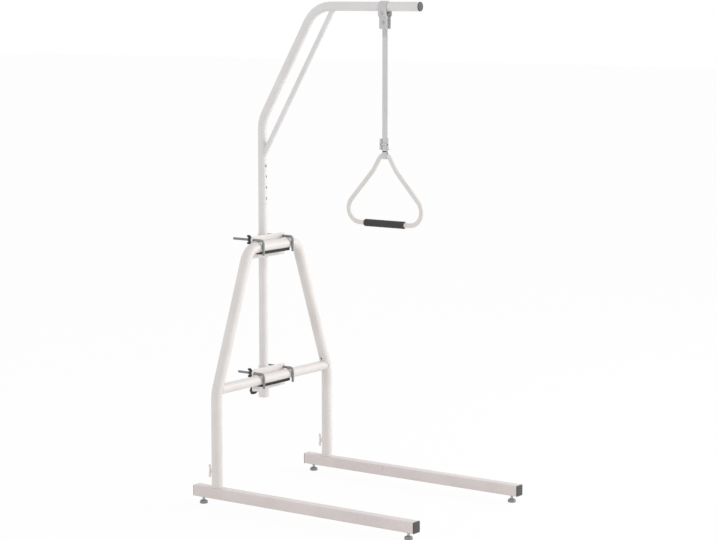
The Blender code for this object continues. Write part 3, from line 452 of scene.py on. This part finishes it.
# Brackets: on each tube that carries the mast a flat steel plate, coated like the tubes and welded to
# the front of a short sleeve. A black rubber block cradles the tube and keeps its coat from the plate.
def eased(name, material, body, width, new_name):
    """A CAD node's own shape with its sharp edges eased, as a pressed, cast or moulded piece has them."""
    shape = bmesh.new()
    shape.from_mesh(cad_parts[name].data)
    bmesh.ops.remove_doubles(shape, verts=shape.verts, dist=0.00001)
    bmesh.ops.dissolve_limit(shape, angle_limit=radians(1), verts=shape.verts, edges=shape.edges)
    sharp = [edge for edge in shape.edges if edge.calc_face_angle(0) > radians(35)]
    bmesh.ops.bevel(shape, geom=sharp, offset=width, offset_type="OFFSET", segments=2, profile=0.5,
                    affect="EDGES", clamp_overlap=True)
    made = add_piece(new_name, shape, material, body, crease=50)
    flats = made.modifiers.new("Flat faces stay flat", "WEIGHTED_NORMAL")
    flats.keep_sharp = True
    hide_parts(name)
    return made


plate_coat = coated_steel("powder coated steel plate, warm light grey", "#e8e3e1", "#e0dbd9", scuffs=0.4)
block_rubber = moulded("moulded rubber, black", "#1d1c1c", roughness=0.72, grain_scale=900.0,
                       grain_depth=0.00012)
BEAD = 0.0022  # radius of the bead between sleeve and plate
BEAD_STEP = 0.0006  # from one ring of the bead to the next
BEAD_Y = 0.0112  # from the mast's middle plane to each bead
for level in ("upper", "lower"):
    finish_node(level + "_mast_sleeve", plate_coat)
    eased(level + "_saddle_pad", block_rubber, "stand", width=0.0007, new_name="rubber_wedge_" + level)
    eased(level + "_bracket_plate", plate_coat, "stand", width=0.0006, new_name="bracket_plate_" + level)
    low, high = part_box(level + "_bracket_plate")
    steps = ceil((high.z - low.z) / BEAD_STEP)
    for side, way in (("near", -1), ("far", 1)):
        # down each side of the sleeve, where it stands two beads off the plate's back
        line = [Vector((low.x - BEAD * 0.8, way * BEAD_Y, low.z + (high.z - low.z) * i / steps))
                for i in range(steps + 1)]
        weld(f"weld_{level}_sleeve_{side}", line, BEAD, pitch=0.0034, body="stand", closed=False)


# Hook bolts: bent 9 mm rod, plated, threaded from the rear end to the plate. Each hooks over its tube,
# goes back through the plate, and is drawn up by a black moulded wing nut on a washer.
def threaded_rod(shape, start, end, side, radius, pitch, depth):
    """Adds a rod with a screw thread cut in it, drawn as a helix, and a chamfer at its start."""
    rings_a_turn, sides = 5, 16
    chamfer, nose_share = 0.0014, 0.72
    along = (end - start).normalized()
    up = along.cross(side)
    length = (end - start).length
    count = ceil(length / (pitch / rings_a_turn))
    rings = []
    for i in range(count + 1):
        reach = length * i / count
        ring = []
        for k in range(sides):
            turn = k / sides
            phase = (reach / pitch - turn) % 1.0
            crest = 1 - abs(2 * phase - 1)
            fade = min(1.0, (length - reach) / pitch)
            nose = min(1.0, nose_share + reach / chamfer * (1 - nose_share))
            out = (radius - depth * (1 - crest) * fade) * nose
            ring.append(start + along * reach
                        + (side * cos(2 * pi * turn) + up * sin(2 * pi * turn)) * out)
        rings.append(ring)
    return skin(shape, rings)


def bent_rod(shape, corners, bend, radius, sides):
    """Adds a round rod along a line with one square bend, its far end eased."""
    ease, steps = 0.0012, 12
    start, corner, end = corners
    back = (start - corner).normalized()
    ahead = (end - corner).normalized()
    centre = corner + (back + ahead) * bend
    line = [start]
    for i in range(steps + 1):
        angle = pi / 2 * i / steps
        line.append(centre - ahead * cos(angle) * bend - back * sin(angle) * bend)
    line += [end - ahead * ease, end]
    across = back.cross(ahead).normalized()
    rings = []
    for i, point in enumerate(line):
        before = line[max(i - 1, 0)]
        after = line[min(i + 1, len(line) - 1)]
        along = (after - before).normalized()
        width = radius if i < len(line) - 1 else radius - ease
        rings.append(circle(point, across, along.cross(across), width, sides))
    return skin(shape, rings)


rod_plate = plated_steel("plated steel rod, grey", "#8f9092", roughness=0.42, streak=(200.0, 1200.0, 1200.0))
nut_plastic = moulded("moulded nylon, black", "#222223", roughness=0.45, grain_scale=1500.0,
                      grain_depth=0.0001)
ROD_RADIUS = 0.0045
HOOK_OFF = 0.0048  # from the tube's front to the middle of the hook's leg
WING_THICK = 0.003
WING_TOP = 0.0165
# washer as (radius, reach), nut's hub the same way, and one of its wings as (reach, distance from axis)
washer_rim = rounded([(0.0048, 0.0), (0.0090, 0.0), (0.0090, 0.0016), (0.0048, 0.0016)], radius=0.0004,
                     closed=True, steps=2)
nut_hub = rounded([(0.0049, 0.0), (0.0079, 0.0), (0.0076, 0.0060), (0.0062, 0.0160), (0.0049, 0.0160)],
                  radius=0.0010)
nut_wing = rounded([(0.0010, 0.0054), (0.0034, 0.0092), (0.0100, WING_TOP), (0.0205, WING_TOP * 0.96),
                    (0.0240, 0.0118), (0.0165, 0.0062), (0.0150, 0.0052)], radius=0.0036, closed=True,
                   steps=5)
wing_middle = Vector((0.0125, 0.0108))
for level, clamped in (("upper", "a_frame_tube"), ("lower", "cross_tube")):
    for side in ("near", "far"):
        name = f"{level}_{side}"
        low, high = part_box("hook_washer_" + name)
        bolt_y, arm_z = (low.y + high.y) / 2, (low.z + high.z) / 2
        shape = bmesh.new()
        turned(shape, washer_rim, Vector((high.x, bolt_y, arm_z)), -X, Y, sides=40, closed=True)
        washer = add_piece("washer_" + name, shape, bright_zinc, "stand", crease=40)
        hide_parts("hook_washer_" + name)
        thread_end = high.x + 0.002  # inside the plate
        low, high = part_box("hook_bolt_" + name)
        rear = Vector((low.x, bolt_y, arm_z))
        threaded = thread_end - rear.x
        corner = Vector((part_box(clamped)[1].x + HOOK_OFF, bolt_y, arm_z))
        shape = bmesh.new()
        threaded_rod(shape, rear, rear + X * threaded, Y, ROD_RADIUS, pitch=0.0015, depth=0.0005)
        leg_end = Vector((corner.x, bolt_y, low.z))
        plain_start = rear + X * (threaded - 0.001)  # inside the end of the thread
        bent_rod(shape, (plain_start, corner, leg_end), bend=0.012, radius=ROD_RADIUS, sides=24)
        hook = add_piece("hook_" + name, shape, rod_plate, "hook_" + name, crease=40)
        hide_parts("hook_bolt_" + name)
        low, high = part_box("wing_nut_" + name)
        seat = Vector((high.x, bolt_y, arm_z))
        shape = bmesh.new()
        turned(shape, nut_hub, seat, -X, Y, sides=36, closed=True)
        # the near nuts came to rest with their wings upright, the far ones with them level
        rise, across_way = (Z, Y) if side == "near" else (Y, Z)
        for half in (-1, 1):
            # each wing stands clear of the bore, and its rim is round
            layers = []
            for across, inset in ((-0.5, 0.0006), (-0.3, 0.0), (0.3, 0.0), (0.5, 0.0006)):
                ring = []
                for place in nut_wing:
                    out = Vector(place) - wing_middle
                    spot = wing_middle + out * (1 - inset / max(out.length, 0.001))
                    ring.append(seat - X * spot.x + rise * half * spot.y + across_way * across * WING_THICK)
                layers.append(ring)
            skin(shape, layers)
        nut = add_piece("wing_nut_moulded_" + name, shape, nut_plastic, "wing_nut_" + name, crease=50)
        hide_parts("wing_nut_" + name)


# Knob that locks the mast: a six-lobed grip of moulded black nylon on a zinc plated steel stud, which
# screws in behind the lower sleeve.
low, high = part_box("mast_lock_knob")
knob_centre = (low + high) / 2
finish_node("mast_lock_stud", bright_zinc)
profile = rounded([(0.0044, 0.0118), (0.0044, 0.0), (0.0085, 0.0), (0.0128, 0.0062), (0.0140, 0.0082),
                   (0.0140, 0.0180), (0.0122, 0.0200), (0.0060, 0.0197), (TIP, 0.0195)], radius=0.0016)
KNOB_SIDES, LOBES, LOBE_DEPTH, LOBE_START = 72, 6, 0.0014, 0.0085
rings = []
for radius, reach in profile:
    ring = []
    # the lobes grow out of a round boss over 4.5 mm
    deep = LOBE_DEPTH * min(1.0, max(0.0, (radius - LOBE_START) / 0.0045))
    for i in range(KNOB_SIDES):
        angle = 2 * pi * i / KNOB_SIDES
        out = radius + deep * (cos(LOBES * angle) - 0.15)
        ring.append(Vector((high.x - reach, knob_centre.y + cos(angle) * out,
                            knob_centre.z + sin(angle) * out)))
    rings.append(ring)
knob = add_piece("lobed_knob", skin(bmesh.new(), rings), nut_plastic, "mast_lock", crease=50)
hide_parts("mast_lock_knob")


# Mast: a straight coated tube held in the brackets' sleeves, with a plated spigot in its top that the
# boom slips over. A spring button in the spigot snaps out through one of the boom's holes.
mast_coat = coated_steel("powder coated mast and boom tube, light grey", "#e5e3e2", "#dddbda", scuffs=0.35)
finish_node("mast_tube", mast_coat)
spigot_zinc = plated_steel("zinc plated spigot", "#bcbdbf", roughness=0.34, streak=(900.0, 900.0, 150.0))
finish_node("mast_spigot", spigot_zinc)
button_steel = plated_steel("spring steel, polished", "#9b9c9e", roughness=0.28, streak=(900.0, 900.0, 300.0))
# the spring button: its CAD shape with the edges eased, baked where it rests
spring = eased("snap_button", button_steel, None, width=0.0002, new_name="spring_button")
low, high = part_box("mast_spigot")
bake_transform(spring)


# Boom: one coated tube bent twice, drilled down the front for height, with a thin brace welded across
# its first bend and a plastic cap in its end.
for node in ("boom_tube", "boom_brace"):
    finish_node(node, mast_coat)
boom = surface_of("boom_tube")
low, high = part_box("mast_tube")
mast_x = (low.x + high.x) / 2
BRACE_FOOT_Z = 1.1750
BRACE_HEAD_Z = 1.7024
BRACE_HEAD_REACH = 0.3136  # in front of the mast's axis
BRACE_RAYS = 0.0097  # radius of the rays about the brace's axis, a little outside its wall
brace_low = Vector((mast_x, 0, BRACE_FOOT_Z))
brace_high = Vector((mast_x + BRACE_HEAD_REACH, 0, BRACE_HEAD_Z))
brace_way = (brace_high - brace_low).normalized()
brace_middle = (brace_low + brace_high) / 2
for end, way in (("low", -brace_way), ("high", brace_way)):
    line = meeting_line(boom, brace_middle, way, Y, BRACE_RAYS, count=60)
    weld("weld_brace_" + end, line, radius=0.0015, pitch=0.0028, body="boom")

cap_plastic = moulded("moulded polyethylene, black", "#2b2b2c", roughness=0.5, grain_scale=1500.0,
                      grain_depth=0.0001)
CAP_DEPTH = 0.0025
low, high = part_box("boom_plug")
cap_seat = Vector((high.x - CAP_DEPTH, 0, (low.z + high.z) / 2))
cap = [(0.0158, 0.0003), (0.0158, 0.0012), (0.0154, 0.0020), (0.0138, 0.0024), (0.0070, CAP_DEPTH),
       (TIP, CAP_DEPTH)]
shape = turned(bmesh.new(), rounded(cap, radius=0.0006), cap_seat, X, Y, sides=48)
end_cap = add_piece("boom_end_cap", shape, cap_plastic, "boom", crease=30)
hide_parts("boom_plug")


# Hanger: a coated steel strip bent over the boom, pinched on it by a bolt below the tube and drawn in
# below to a second bolt. A small wire ring on that one carries the strap.
strip_coat = coated_steel("powder coated steel strip, light grey", "#cfcece", "#c4c3c3", scuffs=0.4)
eased("hanger_saddle", strip_coat, "hanger", width=0.0006, new_name="saddle_bent_strip")
bolt_grey = plated_steel("plated bolt, dull grey", "#b6b6b8", roughness=0.45, streak=(900.0, 900.0, 900.0))
for bolt in ("saddle", "ring"):
    low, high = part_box(bolt + "_bolt")
    shape = bmesh.new()
    length = high.y - low.y
    # a domed head, then the shank with a small chamfer at its end
    head = rounded([(TIP, 0.0), (0.0036, 0.0004), (0.0050, 0.0022), (0.0050, 0.0041), (0.0030, 0.0041),
                    (0.0030, length - 0.0006), (0.0024, length), (TIP, length)], radius=0.0008)
    turned(shape, head, Vector(((low.x + high.x) / 2, low.y, (low.z + high.z) / 2)), Y, X, sides=36)
    made = add_piece(f"{bolt}_button_head_bolt", shape, bolt_grey, "hanger", crease=40)
    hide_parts(bolt + "_bolt")
    eased(bolt + "_nut", bright_zinc, "hanger", width=0.0004, new_name=f"{bolt}_hexagon_nut")
finish_node("hanger_ring", rod_plate)


# Strap: one loop of pale grey polyester webbing, 20 mm wide, round the ring above and the handle
# below, its two layers sewn together under the ring and over the handle. It shows as a chevron weave.
STRAP_X = 0.1195
WEB = 0.0018  # thickness of the webbing
LAYER = 0.00097  # from the strap's middle plane to the middle of each layer
RING_Z = 1.6344  # middle of the upper eye
CROWN_Z = 1.2038  # middle of the lower eye
RING_BORE = 0.0023  # inner radius of the eye round the ring's wire
CROWN_BORE = 0.0083  # inner radius of the eye round the handle's tube
WEAVE_PITCH = 0.0024  # from chevron to chevron up the strap
CHEVRON_WIDTH = 0.005
THREAD_PITCH = 0.0016  # from thread to thread across the strap
BELLY = 0.00012  # how far each layer bellies out between its seams


def woven(name, light, dark):
    """Webbing: chevrons of thread across the width, drawn 2.4 mm apart, about twice the real pitch."""
    made = bpy.data.materials.new(name)
    made.use_nodes = True
    tree = made.node_tree
    shader = tree.nodes["Principled BSDF"]
    shader.inputs["Sheen Weight"].default_value = 0.25
    shader.inputs["Roughness"].default_value = 0.85
    shader.inputs["IOR"].default_value = 1.5
    place = add_node(tree, "TexCoord", {}, {}).outputs["Object"]
    parts = add_node(tree, "SeparateXYZ", {}, {0: place})
    across = add_node(tree, "Math", {"operation": "SUBTRACT"}, {0: parts.outputs["X"], 1: STRAP_X})
    folded = add_node(tree, "Math", {"operation": "PINGPONG"}, {0: across.outputs[0], 1: CHEVRON_WIDTH})
    climb = add_node(tree, "Math", {"operation": "ADD"}, {0: parts.outputs["Z"], 1: folded.outputs[0]})
    turns = add_node(tree, "Math", {"operation": "MULTIPLY"}, {0: climb.outputs[0], 1: 2 * pi / WEAVE_PITCH})
    wave = add_node(tree, "Math", {"operation": "SINE"}, {0: turns.outputs[0]})
    ribs = add_node(tree, "Math", {"operation": "MULTIPLY"}, {0: across.outputs[0], 1: 2 * pi / THREAD_PITCH})
    rib = add_node(tree, "Math", {"operation": "COSINE"}, {0: ribs.outputs[0]})
    thread = add_node(tree, "Math", {"operation": "MULTIPLY_ADD"}, {0: rib.outputs[0], 1: 0.35,
                                                                    2: wave.outputs[0]})
    fuzz = add_node(tree, "TexNoise", {}, {"Vector": place, "Scale": 2600.0, "Detail": 2.0})
    height = add_node(tree, "Math", {"operation": "MULTIPLY_ADD"}, {0: fuzz.outputs["Fac"], 1: 0.8,
                                                                    2: thread.outputs[0]})
    tone = add_node(tree, "MapRange", {}, {"Value": height.outputs[0], "From Min": -1.2, "From Max": 1.8})
    soil = add_node(tree, "TexNoise", {}, {"Vector": place, "Scale": 30.0, "Detail": 3.0})
    tint = add_node(tree, "Math", {"operation": "MULTIPLY_ADD"}, {0: soil.outputs["Fac"], 1: 0.5,
                                                                  2: tone.outputs["Result"]})
    level = add_node(tree, "MapRange", {}, {"Value": tint.outputs[0], "From Max": 1.3})
    colour = add_node(tree, "Mix", {"data_type": "RGBA"},
                      {0: level.outputs["Result"], 6: linear(dark), 7: linear(light)})
    tree.links.new(colour.outputs[2], shader.inputs["Base Color"])
    bump = add_node(tree, "Bump", {}, {"Height": height.outputs[0], "Strength": 0.6, "Distance": 0.00025})
    tree.links.new(bump.outputs["Normal"], shader.inputs["Normal"])
    return made


def eye(centre_z, radius, half_neck, neck, way, steps):
    """The round of an eye from one tangent to the other, as (y, z); way is 1 with the neck above."""
    start = atan2(neck, half_neck) - acos(radius / hypot(half_neck, neck))
    sweep = pi + 2 * start
    turns = [start - sweep * i / steps for i in range(steps + 1)]
    return [(radius * cos(turn), centre_z + way * radius * sin(turn)) for turn in turns]


def belt(shape, line, width, thick):
    """Adds webbing along a closed line of (y, z), ribbed a little and rounded at its selvedges."""
    count = len(line)
    steps, ribs, rib_depth = 18, 9, 0.07
    section = []
    for side in (1, -1):
        for i in range(steps + 1):
            across = (0.5 - i / steps) * side
            edge = sqrt(max(0.0, 1 - (abs(across) * 2) ** 14))
            rib = 1 - rib_depth * (1 - cos(2 * pi * across * ribs))
            section.append((across * width, side * thick / 2 * max(edge, 0.3) * rib))
    rings = []
    for i, (y, z) in enumerate(line):
        before = Vector(line[i - 1])
        after = Vector(line[(i + 1) % count])
        along = (after - before).normalized()
        out = Vector((along.y, -along.x))
        rings.append([Vector((STRAP_X + a, y + out.x * b, z + out.y * b)) for a, b in section])
    return skin(shape, rings, True)


low_neck = 0.0135  # from the lower eye's middle to where the two layers meet
high_neck = 0.010
low_eye = eye(CROWN_Z, CROWN_BORE + WEB / 2, LAYER, low_neck, way=1, steps=28)
high_eye = eye(RING_Z, RING_BORE + WEB / 2, LAYER, high_neck, way=-1, steps=20)
steps = 90
rise = [CROWN_Z + low_neck + (RING_Z - high_neck - CROWN_Z - low_neck) * i / steps for i in range(steps + 1)]
# two loose layers never lie quite flat on each other between their seams
span = rise[-1] - rise[0]
belly = [LAYER + BELLY * sin(pi * (z - rise[0]) / span) for z in rise]
line = [(-b, z) for b, z in zip(belly, rise)][:-1]
line += [(y, z) for y, z in reversed(high_eye)]
line += [(b, z) for b, z in zip(belly, rise)][::-1][:-1]
line += low_eye
polyester = woven("woven polyester webbing, pale grey", "#e4e4e6", "#c4c4c8")
shape = belt(bmesh.new(), line, width=0.0200, thick=WEB)
web = add_piece("webbing_loop", shape, polyester, "strap", crease=60)
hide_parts("hanging_strap")


def stitch(shape, start, end, out, thread):
    """Adds one stitch, a short thread that dips into the web at both ends."""
    along = end - start
    way = along.normalized()
    across = way.cross(out)
    rings = []
    for share, rise, width in ((0.0, -0.5, 0.5), (0.12, 0.25, 0.9), (0.35, 0.5, 1.0), (0.65, 0.5, 1.0),
                               (0.88, 0.25, 0.9), (1.0, -0.5, 0.5)):
        centre = start + along * share + out * thread * rise
        rings.append(circle(centre, across, out, thread / 2 * width, sides=6))
    return skin(shape, rings)


def sewn_line(shape, points, out, length, thread):
    """Adds stitches end to end along straight lines between points."""
    for start, end in zip(points, points[1:]):
        count = max(1, round((end - start).length / length))
        for i in range(count):
            first = start + (end - start) * (i + 0.1) / count
            last = start + (end - start) * (i + 0.9) / count
            stitch(shape, first, last, out, thread)


thread_grey = moulded("bonded polyester thread, grey", "#a4a4a6", roughness=0.7, grain_scale=3000.0,
                      grain_depth=0.00005)
# dark thread for the bar tacks: its darkness is painted shade, where the eye's neck lies in shadow
thread_dark_as_shade = moulded("polyester thread, dark grey as painted shade", "#39393b", roughness=0.7, grain_scale=3000.0,
                      grain_depth=0.00005)
STITCH = 0.0030
THREAD = 0.0007
TACK_Z, TACK_RISE, TACK_HALF, TACK_TURNS = 1.2174, 0.0042, 0.0088, 26
seams = bmesh.new()
tacks = bmesh.new()
for way in (-1, 1):
    out = Y * way
    face = way * (LAYER + WEB / 2 * 0.97)  # a hair inside the webbing's face, so the stitches bed in it
    top, bottom, half = 1.6199, 1.6029, 0.0078
    corners = [Vector((STRAP_X + x, face, z)) for x, z in
               ((-half, top), (half, top), (half, bottom), (-half, bottom), (-half, top))]
    for path in (corners, [corners[0], corners[2]], [corners[1], corners[3]]):
        sewn_line(seams, path, out, STITCH, THREAD)
    # bar tack that closes the eye over the handle: a close zigzag right across the web. The tack is real
    # stitching; its dark thread is painted shade at the eye's neck below the slide
    zigzag = []
    for i in range(TACK_TURNS + 1):
        z = TACK_Z + (TACK_RISE if i % 2 else 0.0)
        zigzag.append(Vector((STRAP_X - TACK_HALF + 2 * TACK_HALF * i / TACK_TURNS, face, z)))
    sewn_line(tacks, zigzag, out, TACK_RISE, THREAD)
add_piece("box_stitching", seams, thread_grey, "strap", crease=60)
add_piece("bar_tacks", tacks, thread_dark_as_shade, "strap", crease=60)


# Slide on the strap: a flat cast frame, satin nickel, that keeps the two layers together above the
# handle. Its middle bar lies in front of the webbing, its top and bottom bars behind.
def soft_block(shape, centre, size, corner, ease):
    """Adds a block drawn as an (x, z) outline with round corners, its edges eased front and back."""
    layers = []
    for share, inset in ((0.0, 1.0), (0.12, 0.5), (0.3, 0.15), (1.0, 0.0)):
        layers.append((size.y / 2 - ease * share, ease * inset))
    layers += [(-depth, inset) for depth, inset in reversed(layers)]
    rings = []
    for depth, inset in layers:
        half_x, half_z = size.x / 2 - inset, size.z / 2 - inset
        outline = rounded(rectangle(half_x, half_z), max(corner - inset, 0.0002), closed=True, steps=5)
        rings.append([centre + X * x + Z * z - Y * depth for x, z in outline])
    skin(shape, rings)


slide_nickel = plated_steel("nickel plated casting, satin", "#c2c2c0", roughness=0.46,
                            streak=(500.0, 500.0, 500.0))
low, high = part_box("strap_slide")
middle, size = (low + high) / 2, high - low
channel = 0.0105  # half the width of the way for the webbing
shape = bmesh.new()
cheek = size.x / 2 - channel
cheek_size = Vector((cheek, size.y, size.z))
for way in (-1, 1):
    soft_block(shape, middle + X * way * (channel + cheek / 2), cheek_size, corner=0.0038, ease=0.0018)
bar_depth, bar_height, bar_inset = 0.0027, 0.007, 0.003
bar_y = size.y / 2 - bar_depth / 2
bar_z = size.z / 2 - bar_height / 2
bar_size = Vector((size.x - 2 * bar_inset, bar_depth, bar_height))
for way, rise in ((-1, 0.0), (1, bar_z), (1, -bar_z)):
    soft_block(shape, middle + Y * way * bar_y + Z * rise, bar_size, corner=0.0012, ease=0.0009)
slide = add_piece("slide_frame", shape, slide_nickel, "slide", crease=50)
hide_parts("strap_slide")


# Handle: a coated tube bent to a rounded triangle whose ends meet inside a black rubber grip. The
# grip has moulded rings that a hand can hold on to.
handle_coat = coated_steel("powder coated handle tube, warm light grey", "#e4e0dd", "#dcd8d5", scuffs=0.3)
finish_node("handle_frame", handle_coat)
grip_rubber = moulded("ribbed rubber grip, black", "#38383a", roughness=0.66, grain_scale=1100.0,
                      grain_depth=0.0001)
low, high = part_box("handle_grip")
grip_middle = (low + high) / 2
half = (high.x - low.x) / 2
outer = (high.z - low.z) / 2
bore = 0.0083
chamfer = 0.0022
collar = 0.0065  # plain length at each end
groove = 0.0006
RIB_PITCH = 0.0054
profile = [(bore, -half), (outer - chamfer, -half), (outer, chamfer - half), (outer, collar - half)]
count = round((2 * half - 2 * collar) / RIB_PITCH)
pitch = (2 * half - 2 * collar) / count
for i in range(count):
    here = collar - half + i * pitch
    profile += [(outer, here + pitch * 0.15), (outer - groove, here + pitch * 0.32),
                (outer - groove, here + pitch * 0.56), (outer, here + pitch * 0.73)]
profile += [(outer, half - collar), (outer, half - chamfer), (outer - chamfer, half), (bore, half)]
profile = rounded(profile, radius=0.0006, steps=2)
shape = turned(bmesh.new(), profile, grip_middle, X, Y, sides=48, closed=True)
grip = add_piece("ringed_grip", shape, grip_rubber, "handle", crease=50)
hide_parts("handle_grip")
